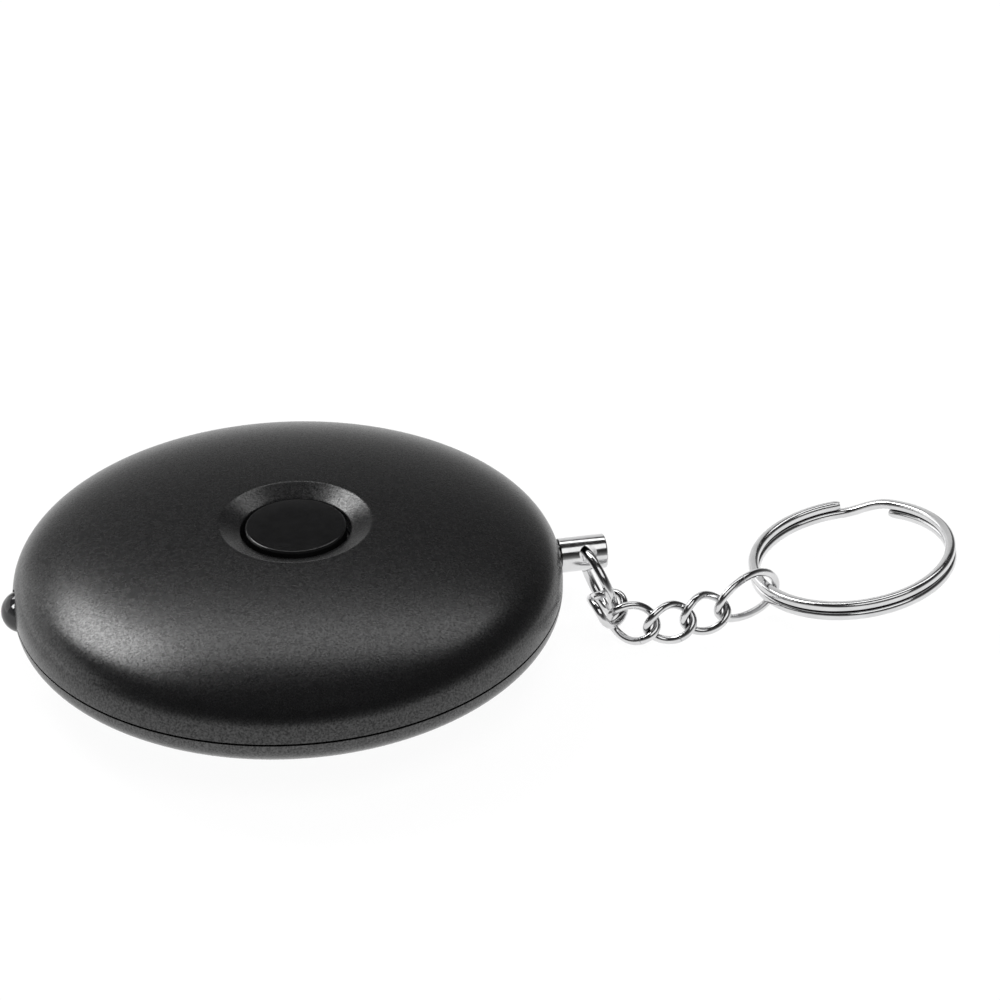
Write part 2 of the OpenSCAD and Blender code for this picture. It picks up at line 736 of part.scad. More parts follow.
module battery_spring() {
    color("#d0d2d4")
    wire(spring_line, [0, cell_y, cell_z], [1, 0, 0], spring_wire, spring_wire, 6, false);
}

module contact_plate(x) {
    plate_w = 9;
    plate_low = 3.6;
    plate_high = part_z + 1;
    translate([x, cell_y - plate_w / 2, plate_low]) cube([plate_t, plate_w, plate_high - plate_low]);
}

module battery_plus_plate() {
    color("#cfd1d3") contact_plate(stack_end);
}

module battery_minus_plate() {
    color("#cfd1d3") contact_plate(stack_x - spring_len - plate_t);
}

// Step-up coil: a drum core with its winding
coil_angle = 222.5;
coil_polar = post_polar - 6.3;
coil_at = coil_polar * [cos(coil_angle), sin(coil_angle)];
coil_r = 3.4;
coil_h = 4;
coil_flange = 0.7;
coil_neck = 1.6;
module coil_core() {
    color("#3b3733")
    translate([coil_at[0], coil_at[1], board_top])
        rotate_extrude()
            polygon([[0, 0], [coil_r, 0], [coil_r, coil_flange], [coil_neck, coil_flange],
                     [coil_neck, coil_h - coil_flange], [coil_r, coil_h - coil_flange],
                     [coil_r, coil_h], [0, coil_h]]);
}

module coil_winding() {
    slack = 0.05;
    color("#a5562a")
    translate([coil_at[0], coil_at[1], board_top + coil_flange + slack])
        difference() {
            cylinder(r = coil_r - 0.4, h = coil_h - 2 * coil_flange - 2 * slack);
            translate([0, 0, -1]) cylinder(r = coil_neck + slack, h = coil_h);
        }
}

module driver_chip() {
    chip = [5, 4, 1.5];
    legs = 4;
    leg = [0.4, 6, 0.25];
    pitch = 1.27;
    at = 0.45 * board_r * [1, -1];
    color("#26262a")
    translate([at[0] - chip[0] / 2, at[1] - chip[1] / 2, board_top]) {
        translate([0, 0, leg[2]]) cube([chip[0], chip[1], chip[2]]);
        for (i = [0 : legs - 1])
            translate([chip[0] / 2 + (i - (legs - 1) / 2) * pitch - leg[0] / 2, (chip[1] - leg[1]) / 2, 0])
                cube([leg[0], leg[1], 2 * leg[2]]);
    }
}

module capacitor() {
    cap_r = 2;
    cap_h = 4;
    base = 0.5;
    at = [-1, -5 / 7 * board_r];
    color("#9ea3a8")
    translate([at[0], at[1], board_top]) {
        translate([-cap_r, -cap_r, 0]) cube([2 * cap_r, 2 * cap_r, base]);
        rotate_extrude()
            polygon([[0, 0], [cap_r - 0.1, 0], [cap_r - 0.1, cap_h - 0.3], [cap_r - 0.4, cap_h], [0, cap_h]]);
    }
}

module chip_resistors() {
    chip = [3.2, 1.6, 0.6];
    pad_gap = 1;
    near_lamp = lead_end + pad_gap;
    color("#1e1e20")
    for (p = [[4, -0.63 * board_r], [4, -0.75 * board_r], [near_lamp, -4], [near_lamp, 1]])
        translate([p[0], p[1], board_top]) cube(chip);
}

module pull_pin() {
    bevel = 0.2;
    tip_round = 1.2;
    head = pin_in + head_gap;
    color("#c4c6c8")
    difference() {
        along_x(pin_tip_x, 0, pin_z)
            rotate_extrude()
                polygon(concat(
                    [[0, 0]],
                    arc([pin_r - tip_round, tip_round], tip_round, -90, 0, 6),
                    [[pin_r, 2 * tip_round], [neck_r, 2 * tip_round + pin_r - neck_r],
                     [neck_r, 2 * tip_round + neck_len], [pin_r, 2 * tip_round + neck_len + pin_r - neck_r],
                     [pin_r, head], [head_r - bevel, head], [head_r, head + bevel],
                     [head_r, pin_len - bevel], [head_r - bevel, pin_len], [0, pin_len]]));
        translate(eye) rotate([90 - eye_tilt, 0, 0])
            cylinder(r = eye_r, h = 4 * head_r, center = true);
    }
}

module pin_link() {
    color("#c4c6c8")
    wire(oval(pin_link_c, pin_link_x, eye_axis, pin_link_r, pin_link_r, 0, link_rings),
         pin_link_c, [0, 0, 0], pin_link_wire, pin_link_wire, link_sides, true);
}

module curb_link(i) {
    color("#c4c6c8")
    wire(oval(curb_centres[i], lay_x[i], lay_y[i], link_a, link_b, link_twist, link_rings),
         curb_centres[i], [0, 0, 0], wire_d, wire_d, link_sides, true);
}

module ring_link() {
    color("#c4c6c8")
    wire(oval(link_5, lay_x[4], lay_y[4], ring_link_a, ring_link_b, ring_link_twist, link_rings),
         link_5, [0, 0, 0], wire_d, wire_d, link_sides, true);
}

module split_ring() {
    color("#c9cbcd")
    wire(ring_line, ring_c, ring_n, ring_wire_w, ring_wire_t, 8, false);
}

upper_shell();
lower_shell();
case_screws();
push_button();
switch_plunger();
switch_body();
circuit_board();
led_lamp();
led_leads();
siren_disc();
siren_ceramic();
siren_seal();
siren_leads();
pin_socket();
pin_contact();
button_cells();
battery_spring();
battery_plus_plate();
battery_minus_plate();
coil_core();
coil_winding();
driver_chip();
capacitor();
chip_resistors();
pull_pin();
pin_link();
curb_link(0);  // chain_link_1
curb_link(1);  // chain_link_2
curb_link(2);  // chain_link_3
curb_link(3);  // chain_link_4
ring_link();
split_ring();
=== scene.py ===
# Looks of the personal safety alarm: shells, button, lamp, pin, chain and ring on the CAD frame.
import json
import math

import bmesh
import bpy
import numpy as np
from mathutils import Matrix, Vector


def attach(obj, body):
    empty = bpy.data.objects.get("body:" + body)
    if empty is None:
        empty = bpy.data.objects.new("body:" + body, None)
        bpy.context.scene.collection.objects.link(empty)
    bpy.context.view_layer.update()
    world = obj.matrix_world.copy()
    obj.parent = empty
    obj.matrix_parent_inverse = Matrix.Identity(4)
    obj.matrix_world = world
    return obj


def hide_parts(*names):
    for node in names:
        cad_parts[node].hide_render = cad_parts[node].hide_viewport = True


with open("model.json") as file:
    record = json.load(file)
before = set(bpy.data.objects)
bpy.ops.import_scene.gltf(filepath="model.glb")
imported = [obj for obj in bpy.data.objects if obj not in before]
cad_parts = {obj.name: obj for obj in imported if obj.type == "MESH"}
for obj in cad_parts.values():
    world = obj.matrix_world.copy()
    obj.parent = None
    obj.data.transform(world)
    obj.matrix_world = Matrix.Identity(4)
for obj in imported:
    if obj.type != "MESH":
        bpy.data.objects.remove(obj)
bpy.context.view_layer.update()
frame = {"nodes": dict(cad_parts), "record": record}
scene = bpy.context.scene
MM = 0.001
X, Y, Z = np.eye(3)

# Sizes in millimetres, as in the part's source
CASE_R, PART_Z, DOME_H, WALL = 31.5, 8.9, 8.2, 1.6
DOME_POWER, BOWL_POWER, BOWL_ROUND, FOOT_CUT = 0.31, 0.62, 3.0, 0.3
CASE_TOP, BOWL_H = PART_Z + DOME_H, PART_Z + FOOT_CUT
BUTTON_X, BUTTON_R, BUTTON_T, SKIRT_T = 1.0, 5.8, 1.6, 0.9
BUTTON_TOP, HOLE_R, COLLAR_Z = CASE_TOP - 0.75, 6.3, CASE_TOP - 3.1
FLANGE_R, FLANGE_TOP, FLANGE_T = 7.4, COLLAR_Z - 0.15, 1.0
BOARD_TOP, SWITCH_H, PLUNGER_H, STEM_R = PART_Z + 0.6, 3.5, 0.9, 1.95
PLUNGER_TOP = BOARD_TOP + SWITCH_H + PLUNGER_H
LAMP_R, LAMP_BASE, LAMP_LEN, LAMP_GAP = 2.45, 24.85, 5.6, 0.1
LAMP_FLANGE_R, LAMP_FLANGE_T = 2.9, 1.0
PIN_R, PIN_GAP, HEAD_R, PIN_Z = 1.5, 0.15, 2.05, PART_Z - 0.85
PIN_TIP, PIN_END, NECK_R, NECK_LEN = CASE_R - 15, CASE_R + 5.9, 1.1, 1.6
EYE, EYE_R, EYE_TILT = np.array([CASE_R + 3.5, 0.0, PIN_Z]), 1.05, math.radians(28)
POST_POLAR, POST_ANGLES, SCREW_HOLE_R = 22.6, (40, 140, 214, 326), 2.3
SIREN_AT, SOUND_R, SOUND_RING = (-2.0, -9.0), 1.1, 5.0
SLOT_ANGLES = (130, 143, 156)
SLOT_CORNERS = ((-2.5, 1.8), (2.5, 1.8), (2.5, 2.6), (-2.5, 2.6))
WIRE_D, PIN_LINK_WIRE, LINK_GAP = 0.9, 1.05, 0.25
PIN_LINK_R, PIN_LINK_SEAT, PIN_LINK_SWING = 4.25, 0.38, math.radians(70.5)
LINK_A, LINK_B, LINK_TWIST = 2.8, 2.1, -36
RING_LINK_A, RING_LINK_B, RING_LINK_TWIST = 4.6, 2.6, -10
RING_D, RING_W, RING_SEAT = 24.7, 1.24, 1.95

# Sizes in millimetres fitted to the photograph. No surface moves by half a millimetre or more.
SEAM_GAP, SEAM_DEPTH = 0.26, 0.6
RECESS_Z, RECESS_SLOPE, RECESS_ROUND = CASE_TOP - 1.18, math.radians(24.3), 0.6
SHOULDER, SHOULDER_DEPTH = 0.46, 4.6
HEAD_X = CASE_R + 0.3
WIRE_EXTRA = 0.06
RING_T, RING_STEP = 1.08, 1.2

# Cutters, in millimetres. With 50 sides no corner of a bore falls on the shells' own mesh lines.
BORE_LEN, BORE_SIDES = 6.4, 50
SOUND_CUT, SCREW_CUT, SLOT_INSET, SLOT_REACH = 4.0, 6.0, 3.2, 4.8


# Mesh helpers

def skin(rows, loop=False):
    """Vertices and faces over rows of points, each a closed ring, or one point for a pole."""
    starts, total = [], 0
    for row in rows:
        starts.append(total)
        total += len(row)
    faces = []
    pairs = list(zip(range(len(rows) - 1), range(1, len(rows))))
    if loop:
        pairs.append((len(rows) - 1, 0))
    for a, b in pairs:
        na, nb, sa, sb = len(rows[a]), len(rows[b]), starts[a], starts[b]
        for k in range(max(na, nb)):
            m = (k + 1) % max(na, nb)
            if na == 1:
                faces.append((sa, sb + k, sb + m))
            elif nb == 1:
                faces.append((sa + m, sa + k, sb))
            else:
                faces.append((sa + m, sa + k, sb + k, sb + m))
    return np.concatenate([np.asarray(r, float).reshape(-1, 3) for r in rows]), faces


def build(name, verts, faces):
    """A mesh object from points in millimetres, with its faces turned outwards."""
    mesh = bpy.data.meshes.new(name)
    mesh.from_pydata((np.asarray(verts) * MM).tolist(), [], faces)
    bm = bmesh.new()
    bm.from_mesh(mesh)
    bmesh.ops.recalc_face_normals(bm, faces=bm.faces)
    bm.to_mesh(mesh)
    bm.free()
    obj = bpy.data.objects.new(name, mesh)
    scene.collection.objects.link(obj)
    return obj


def turned(profile, origin, axis, across, n=128):
    """Rows of a turned shape from (radius, distance along axis), with a pole at radius 0."""
    origin, axis, across = (np.asarray(v, float) for v in (origin, axis, across))
    other = np.cross(axis, across)
    t = 2 * np.pi * np.arange(n) / n
    rows = []
    for r, s in profile:
        centre = origin + s * axis
        if r == 0:
            rows.append(centre.reshape(1, 3))
        else:
            rows.append(centre + r * (np.outer(np.cos(t), across) + np.outer(np.sin(t), other)))
    return rows


def arc(cx, cy, r, start, end, steps):
    """Points on a circle from one angle to another, in degrees."""
    t = np.radians(np.linspace(start, end, steps + 1))
    return [(cx + r * math.cos(a), cy + r * math.sin(a)) for a in t]


def rod(start, axis, across, r, h, n=48, flare=0.0):
    """A closed rod for cutting; flare widens its two ends."""
    sides = [(r, 0), (r, h)]
    if flare:
        sides = [(r + flare, 0), (r, flare), (r, h - flare), (r + flare, h)]
    return skin(turned([(0, 0), *sides, (0, h)], start, axis, across, n))


def cut(obj, pieces):
    """Takes the given closed shapes, all apart from each other, out of obj."""
    verts, faces, base = [], [], 0
    for v, f in pieces:
        verts.append(v)
        faces += [tuple(i + base for i in face) for face in f]
        base += len(v)
    tool = build("cutter", np.concatenate(verts), faces)
    mod = obj.modifiers.new("cut", "BOOLEAN")
    mod.object = tool
    mod.solver = "EXACT"
    done = obj.evaluated_get(bpy.context.evaluated_depsgraph_get())
    mesh = bpy.data.meshes.new_from_object(done)
    obj.modifiers.clear()
    old, obj.data = obj.data, mesh
    mesh.name = obj.name
    bpy.data.meshes.remove(old)
    bpy.data.objects.remove(tool)


def dress(obj, body, node, slot, sharp=40, look=None):
    """Finishes a piece that stands for a CAD node; look replaces the slot's own material."""
    obj.data.shade_smooth()
    obj.data.set_sharp_from_angle(angle=math.radians(sharp))
    obj.data.materials.clear()
    obj.data.materials.append(look or MATERIALS[slot])
    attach(obj, body)
    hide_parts(node)


# Bores through both shells
lamp_cut = rod(-(CASE_R + 2) * X + PART_Z * Z, X, Y, LAMP_R + LAMP_GAP, BORE_LEN, BORE_SIDES)
pin_cut = rod((CASE_R - 4.8) * X + PIN_Z * Z, X, Y, PIN_R + PIN_GAP, BORE_LEN, BORE_SIDES)


# Materials

def shader(name):
    mat = bpy.data.materials.new(name)
    mat.use_nodes = True
    nodes, links = mat.node_tree.nodes, mat.node_tree.links
    return mat, nodes, links, nodes["Principled BSDF"]


def noise(nodes, links, size_mm, detail, stretch=None):
    """Noise with features of about size_mm, in the row frame."""
    place = nodes.new("ShaderNodeTexCoord")
    field = nodes.new("ShaderNodeTexNoise")
    field.inputs["Scale"].default_value = 1000 / size_mm
    field.inputs["Detail"].default_value = detail
    vector = place.outputs["Object"]
    if stretch:
        turn = nodes.new("ShaderNodeMapping")
        turn.inputs["Scale"].default_value = stretch
        links.new(vector, turn.inputs["Vector"])
        vector = turn.outputs["Vector"]
    links.new(vector, field.inputs["Vector"])
    return field.outputs["Fac"]


def spread(nodes, links, fac, low, high, start=0.35, end=0.65):
    """Maps start to end onto low to high."""
    node = nodes.new("ShaderNodeMapRange")
    node.inputs["From Min"].default_value = start
    node.inputs["From Max"].default_value = end
    node.inputs["To Min"].default_value = low
    node.inputs["To Max"].default_value = high
    links.new(fac, node.inputs["Value"])
    return node.outputs["Result"]


def tint(nodes, links, fac, dark, light):
    """Colour between dark and light."""
    ramp = nodes.new("ShaderNodeValToRGB")
    for stop, position, colour in zip(ramp.color_ramp.elements, (0.35, 0.65), (dark, light)):
        stop.position = position
        stop.color = (*colour, 1)
    links.new(fac, ramp.inputs["Fac"])
    return ramp.outputs["Color"]


def bump(nodes, links, bsdf, fac, strength, depth_mm):
    node = nodes.new("ShaderNodeBump")
    node.inputs["Strength"].default_value = strength
    node.inputs["Distance"].default_value = depth_mm * MM
    links.new(fac, node.inputs["Height"])
    links.new(node.outputs["Normal"], bsdf.inputs["Normal"])


def mixed(nodes, links, fac, first, second):
    """Shader that goes from first to second with fac."""
    node = nodes.new("ShaderNodeMixShader")
    links.new(fac, node.inputs["Fac"])
    links.new(first, node.inputs[1])
    links.new(second, node.inputs[2])
    return node.outputs[0]


def plastic(name, dark, light, rough, grain_mm, depth_mm, sparkle=0.0, gloss=0.6):
    """Moulded plastic: uneven colour and gloss under a spark-eroded grain.

    With sparkle, the grain also varies the specular level about gloss.
    """
    mat, nodes, links, bsdf = shader(name)
    cloud = noise(nodes, links, 1.5, 4)
    links.new(tint(nodes, links, cloud, dark, light), bsdf.inputs["Base Color"])
    grain = noise(nodes, links, grain_mm, 2)
    sheen = noise(nodes, links, 0.6, 3)
    links.new(spread(nodes, links, sheen, rough - 0.02, rough + 0.02), bsdf.inputs["Roughness"])
    if sparkle:
        glint = spread(nodes, links, grain, gloss - sparkle, gloss + sparkle, 0.36, 0.64)
        links.new(glint, bsdf.inputs["Specular IOR Level"])
    bump(nodes, links, bsdf, grain, 1.0, depth_mm)
    return mat


def painted_crevice_shade(nodes, links, colour, reach_mm):
    """Colour painted darker in crevices narrower than about reach_mm: painted shade from ambient
    occlusion.
    """
    shade_occlusion = nodes.new("ShaderNodeAmbientOcclusion")
    shade_occlusion.samples = 8
    shade_occlusion.inputs["Distance"].default_value = reach_mm * MM
    blend = nodes.new("ShaderNodeMix")
    blend.data_type = "RGBA"
    blend_fac, blend_shade, blend_light, blend_result = 0, 6, 7, 2
    # The grey mixed in where the occlusion closes is painted shade
    blend.inputs[blend_shade].default_value = (0.1, 0.1, 0.1, 1)
    unshaded_fac = spread(nodes, links, shade_occlusion.outputs["AO"], 0.0, 1.0, 0.25, 0.7)
    links.new(unshaded_fac, blend.inputs[blend_fac])
    links.new(colour, blend.inputs[blend_light])
    return blend.outputs[blend_result]


def metal(name, dark, light, rough, grain_mm=0.6, depth_mm=0.004, stretch=None, crevice_shade_mm=0.0):
    """Plated or drawn metal: faint clouds, uneven gloss, fine marks; painted shade in crevices if
    asked for.
    """
    mat, nodes, links, bsdf = shader(name)
    colour = tint(nodes, links, noise(nodes, links, 2.5, 4), dark, light)
    # Painted shade: the base colour goes dark where wires close in on each other
    if crevice_shade_mm:
        colour = painted_crevice_shade(nodes, links, colour, crevice_shade_mm)
    links.new(colour, bsdf.inputs["Base Color"])
    sheen = noise(nodes, links, 1.2, 4)
    links.new(spread(nodes, links, sheen, rough * 0.7, rough * 1.4), bsdf.inputs["Roughness"])
    bsdf.inputs["Metallic"].default_value = 1.0
    bump(nodes, links, bsdf, noise(nodes, links, grain_mm, 3, stretch), 0.6, depth_mm)
    return mat


def lens(name):
    """Smoky glossy resin of the lamp, with a faint cloud inside."""
    mat, nodes, links, bsdf = shader(name)
    cloud = noise(nodes, links, 1.5, 3)
    smoke = tint(nodes, links, cloud, (0.018, 0.018, 0.019), (0.035, 0.035, 0.037))
    links.new(smoke, bsdf.inputs["Base Color"])
    sheen = noise(nodes, links, 0.8, 3)
    links.new(spread(nodes, links, sheen, 0.04, 0.09), bsdf.inputs["Roughness"])
    bsdf.inputs["Transmission Weight"].default_value = 0.2
    bsdf.inputs["IOR"].default_value = 1.55
    bump(nodes, links, bsdf, noise(nodes, links, 0.9, 2), 0.2, 0.003)
    return mat


# By slot: how it is made, its darker and lighter colour and its roughness, then the grain's size
# and depth in millimetres, and last plastic's sparkle, or metal's stretch and the reach of its
# painted crevice shade
CASE = (0.0105, 0.0105, 0.0109), (0.0125, 0.0125, 0.013), 0.27, 0.22, 0.01
LOOKS = {
    "case_black": (plastic, *CASE, 0.28),
    "button_black": (plastic, (0.009, 0.009, 0.0093), (0.013, 0.013, 0.0135), 0.17, 0.3, 0.006),
    "lamp_lens": (lens,),
    # Plated steel carries painted shade in crevices up to 0.6 mm across
    "plated_steel": (metal, (0.64, 0.64, 0.645), (0.72, 0.72, 0.725), 0.14, 0.6, 0.004, None, 0.6),
    "screw_steel": (metal, (0.42, 0.42, 0.43), (0.58, 0.58, 0.59), 0.3),
    "switch_plastic": (plastic, (0.03, 0.03, 0.032), (0.05, 0.05, 0.053), 0.5, 0.3, 0.01),
    "board_green": (plastic, (0.015, 0.11, 0.045), (0.03, 0.17, 0.07), 0.3, 0.8, 0.01),
    "tinned_wire": (metal, (0.6, 0.6, 0.61), (0.74, 0.74, 0.75), 0.28),
    "siren_brass": (metal, (0.6, 0.44, 0.16), (0.74, 0.58, 0.26), 0.3, 1.0, 0.004, (1, 12, 1)),
    "siren_ceramic": (plastic, (0.7, 0.68, 0.62), (0.82, 0.8, 0.74), 0.45, 0.3, 0.01),
    "seal_rubber": (plastic, (0.02, 0.02, 0.02), (0.045, 0.045, 0.045), 0.8, 0.35, 0.05),
    "lead_insulation": (plastic, (0.36, 0.02, 0.02), (0.5, 0.04, 0.035), 0.45, 0.5, 0.008),
    "contact_brass": (metal, (0.62, 0.47, 0.2), (0.76, 0.6, 0.3), 0.26),
    "cell_steel": (metal, (0.58, 0.58, 0.59), (0.72, 0.72, 0.73), 0.22, 0.5, 0.004, (1, 9, 9)),
    "spring_steel": (metal, (0.52, 0.52, 0.53), (0.68, 0.68, 0.69), 0.26),
    "ferrite": (plastic, (0.05, 0.045, 0.042), (0.09, 0.082, 0.076), 0.65, 0.2, 0.02),
    "winding_copper": (metal, (0.5, 0.2, 0.08), (0.66, 0.3, 0.14), 0.25, 0.3, 0.03, (0.2, 0.2, 6)),
    "chip_black": (plastic, (0.018, 0.018, 0.02), (0.035, 0.035, 0.038), 0.55, 0.25, 0.012),
    "can_aluminium": (metal, (0.6, 0.61, 0.63), (0.74, 0.75, 0.77), 0.3),
}
MATERIALS = {slot: make(slot, *values) for slot, (make, *values) in LOOKS.items()}
# The lower shell mirrors the pale ground more strongly in the photograph
lower_look = plastic("case_black_lower", *CASE, 0.36, 0.84)

for part in frame["record"]["subparts"]:
    data = frame["nodes"][part["node"]].data
    data.materials.clear()
    data.materials.append(MATERIALS[part["material_slot"]])


# Camera at the photograph's viewing angle

CAMERA_AT, CAMERA_TO = Vector((-28.6, -251.2, 174.0)) * MM, Vector((27.42, 12.35, 8.9)) * MM
camera = bpy.data.objects.new("camera", bpy.data.cameras.new("camera"))
scene.collection.objects.link(camera)
camera.location = CAMERA_AT
camera.rotation_euler = (CAMERA_TO - CAMERA_AT).to_track_quat("-Z", "Y").to_euler()
camera.data.sensor_width = 36.0
camera.data.lens = 93.9
camera.data.clip_start = 0.01
scene.camera = camera


# Upper shell: recess rings about the button, then rings about the case's axis

CASE_SIDES = 224


def dome_z(r):
    return PART_Z + DOME_H * np.power(np.maximum(1 - (r / CASE_R) ** 2, 0), DOME_POWER)


def dome_profile(r, h, t):
    return r * np.sqrt(np.maximum(1 - np.sin(t) ** (1 / DOME_POWER), 0)), PART_Z + h * np.sin(t)


def recess_profile():
    """Radius and height from the collar up the hole and the slope to the rim."""
    collar_r, edge, land = 9.0, 0.15, HOLE_R + 0.15
    slope = 90 + math.degrees(RECESS_SLOPE)
    rim_z = float(dome_z(np.array(land + RECESS_ROUND)))
    lift = rim_z - RECESS_ROUND + RECESS_ROUND * math.cos(RECESS_SLOPE) - RECESS_Z
    rim_r = land + RECESS_ROUND * math.sin(RECESS_SLOPE) + lift / math.tan(RECESS_SLOPE)
    points = [(collar_r, COLLAR_Z), (land, COLLAR_Z)]
    points += [(HOLE_R, COLLAR_Z + edge), (HOLE_R, RECESS_Z - 0.3)]
    points += arc(HOLE_R + 0.25, RECESS_Z - 0.22, 0.25, 180, slope, 5)
    start = np.array(points[-1])
    bend = arc(rim_r, rim_z - RECESS_ROUND, RECESS_ROUND, slope, 90, 10)
    points += [tuple(start + (np.array(bend[0]) - start) * k / 6) for k in range(1, 6)] + bend
    return points, rim_r, rim_z


def upper_rows(n=CASE_SIDES):
    phi = 2 * np.pi * np.arange(n) / n
    c, s = np.cos(phi), np.sin(phi)

    def level_ring(r, z):
        return np.stack([r * c, r * s, np.full(n, z)], 1)

    rows = []
    points, rim_r, rim_z = recess_profile()
    edge = dome_z(np.hypot(BUTTON_X + rim_r * c, rim_r * s)) - rim_z
    for r, z in points:
        w = min(max((z - RECESS_Z) / (rim_z - RECESS_Z), 0), 1)
        rows.append(np.stack([BUTTON_X + r * c, r * s, z + w * edge], 1))
    # From rings about the button to rings about the case
    far_r, blend_rows = 13.0, 8
    for k in range(1, blend_rows + 1):
        w = k / blend_rows
        r = rim_r + (far_r - rim_r) * w
        x, y = BUTTON_X * (1 - w) + r * c, r * s
        rows.append(np.stack([x, y, dome_z(np.hypot(x, y))], 1))
    t_far = math.asin((1 - (far_r / CASE_R) ** 2) ** DOME_POWER)
    for t in np.linspace(t_far, math.radians(0.6), 72)[1:]:
        rows.append(level_ring(*dome_profile(CASE_R, DOME_H, t)))
    lip = 0.08
    rows += [level_ring(r, z) for r, z in arc(CASE_R - lip, PART_Z + lip, lip, 0, -90, 4)[1:]]
    for t in np.linspace(0, math.radians(76), 16):
        rows.append(level_ring(*dome_profile(CASE_R - WALL, DOME_H - WALL, t)))
    return rows


BOX_FACES = [(0, 1, 2, 3), (7, 6, 5, 4), (0, 4, 5, 1), (1, 5, 6, 2), (2, 6, 7, 3), (3, 7, 4, 0)]
upper = build("case_top", *skin(upper_rows(), loop=True))
slots = []
for a in np.radians(SLOT_ANGLES):
    out, side = np.array([math.cos(a), math.sin(a), 0]), np.array([-math.sin(a), math.cos(a), 0])
    inner = (CASE_R - SLOT_INSET) * out
    corners = [inner + y * side + (PART_Z + z) * Z for y, z in SLOT_CORNERS]
    slots.append((np.array(corners + [p + SLOT_REACH * out for p in corners]), BOX_FACES))
cut(upper, [lamp_cut, pin_cut] + slots)
dress(upper, "case", "upper_shell", "case_black")


# Lower shell: one turned form with the parting step, then its holes

def bowl_r(r, h, depth):
    return r * (1 - (depth / h) ** (1 / BOWL_POWER)) ** (1 / BOWL_ROUND)


inner_h = BOWL_H - WALL
inside = [(0, PART_Z - inner_h)]
for t in np.radians(np.linspace(86, 0, 30)):
    depth = inner_h * math.sin(t)
    inside.append((bowl_r(CASE_R - WALL, inner_h, depth), PART_Z - depth))
seam_z, seam_round = PART_Z - SEAM_GAP, 0.07
step = [(CASE_R - SEAM_DEPTH, PART_Z), (CASE_R - SEAM_DEPTH, seam_z)]
step += arc(CASE_R - seam_round, seam_z - seam_round, seam_round, 90, 10, 4)
outside = []
for t in np.linspace(math.radians(1.3), math.asin(PART_Z / BOWL_H), 64):
    depth = BOWL_H * math.sin(t)
    fuller = SHOULDER * math.sin(math.pi * min(depth, SHOULDER_DEPTH) / SHOULDER_DEPTH) ** 1.5
    outside.append((bowl_r(CASE_R, BOWL_H, depth) + fuller, PART_Z - depth))
profile = inside + step + outside + [(outside[-1][0] * 0.6, 0.0), (0, 0.0)]
lower = build("case_bottom", *skin(turned(profile, np.zeros(3), Z, X, CASE_SIDES)))
spots = [SIREN_AT]
for a in np.radians(range(0, 360, 60)):
    spots.append((SIREN_AT[0] + SOUND_RING * math.cos(a), SIREN_AT[1] + SOUND_RING * math.sin(a)))
holes = [lamp_cut, pin_cut]
holes += [rod(x * X + y * Y - Z, Z, X, SOUND_R, SOUND_CUT, 32) for x, y in spots]
for a in np.radians(POST_ANGLES):
    post = POST_POLAR * (math.cos(a) * X + math.sin(a) * Y)
    holes.append(rod(post - Z, Z, X, SCREW_HOLE_R, SCREW_CUT, 40))
cut(lower, holes)
dress(lower, "case", "lower_shell", "case_black", look=lower_look)


# Button with a rounded edge and a faint crown, down to the stem on the switch

button_round, crown, under = 0.3, 0.01, BUTTON_TOP - BUTTON_T
cap = [(0, BUTTON_TOP), (BUTTON_R * 0.5, BUTTON_TOP - crown)]
edge_z = BUTTON_TOP - 0.33
cap += arc(BUTTON_R - button_round, edge_z, button_round, 87, 0, 8)
cap += [(BUTTON_R, FLANGE_TOP), (FLANGE_R, FLANGE_TOP), (FLANGE_R, FLANGE_TOP - FLANGE_T),
        (BUTTON_R - SKIRT_T, FLANGE_TOP - FLANGE_T), (BUTTON_R - SKIRT_T, under),
        (STEM_R, under), (STEM_R, PLUNGER_TOP), (0, PLUNGER_TOP)]
button = build("button_cap", *skin(turned(cap, BUTTON_X * X, Z, X, 160)))
dress(button, "button", "push_button", "button_black")


# Lamp with its flange

fr, ft, fe = LAMP_FLANGE_R, LAMP_FLANGE_T, 0.05
bulb = [(0, 0), (fr - fe, 0), (fr, fe), (fr, ft - fe), (fr - fe, ft), (LAMP_R, ft)]
bulb += arc(0, LAMP_LEN, LAMP_R, 0, 86, 20) + [(0, LAMP_LEN + LAMP_R)]
lamp = build("lamp_dome", *skin(turned(bulb, -LAMP_BASE * X + PART_Z * Z, -X, Y, 96)))
dress(lamp, "case", "led_lamp", "lamp_lens")


# Pull pin: rounded tip, neck, head with a shallow dimple in its end, and cross hole

tip_round, head_round, end_round, neck, neck_slope = 1.2, 0.15, 0.2, PIN_TIP + 2.4, 0.4
bar = [(0, PIN_TIP)]
bar += [(r, PIN_TIP + tip_round + z) for r, z in arc(PIN_R - tip_round, 0, tip_round, -90, 0, 8)]
bar += [(PIN_R, neck), (NECK_R, neck + neck_slope), (NECK_R, neck + NECK_LEN)]
bar += [(PIN_R, neck + NECK_LEN + neck_slope), (PIN_R, HEAD_X)]
bar += [(r, HEAD_X + z) for r, z in arc(HEAD_R - head_round, head_round, head_round, -90, 0, 5)]
bar += [(r, PIN_END + z) for r, z in arc(HEAD_R - end_round, -end_round, end_round, 0, 90, 6)]
bar += [(0.9, PIN_END), (0.75, PIN_END - 0.15), (0, PIN_END - 0.2)]
pin = build("pull_pin_bar", *skin(turned(bar, PIN_Z * Z, X, Y, 128)))
eye_axis = np.array([0, -math.cos(EYE_TILT), math.sin(EYE_TILT)])
eye_half = 2.15
cut(pin, [rod(EYE - eye_half * eye_axis, eye_axis, X, EYE_R, 2 * eye_half, 48, 0.12)])
dress(pin, "pin", "pull_pin", "plated_steel")


# Chain and ring: the same lay as the part's source

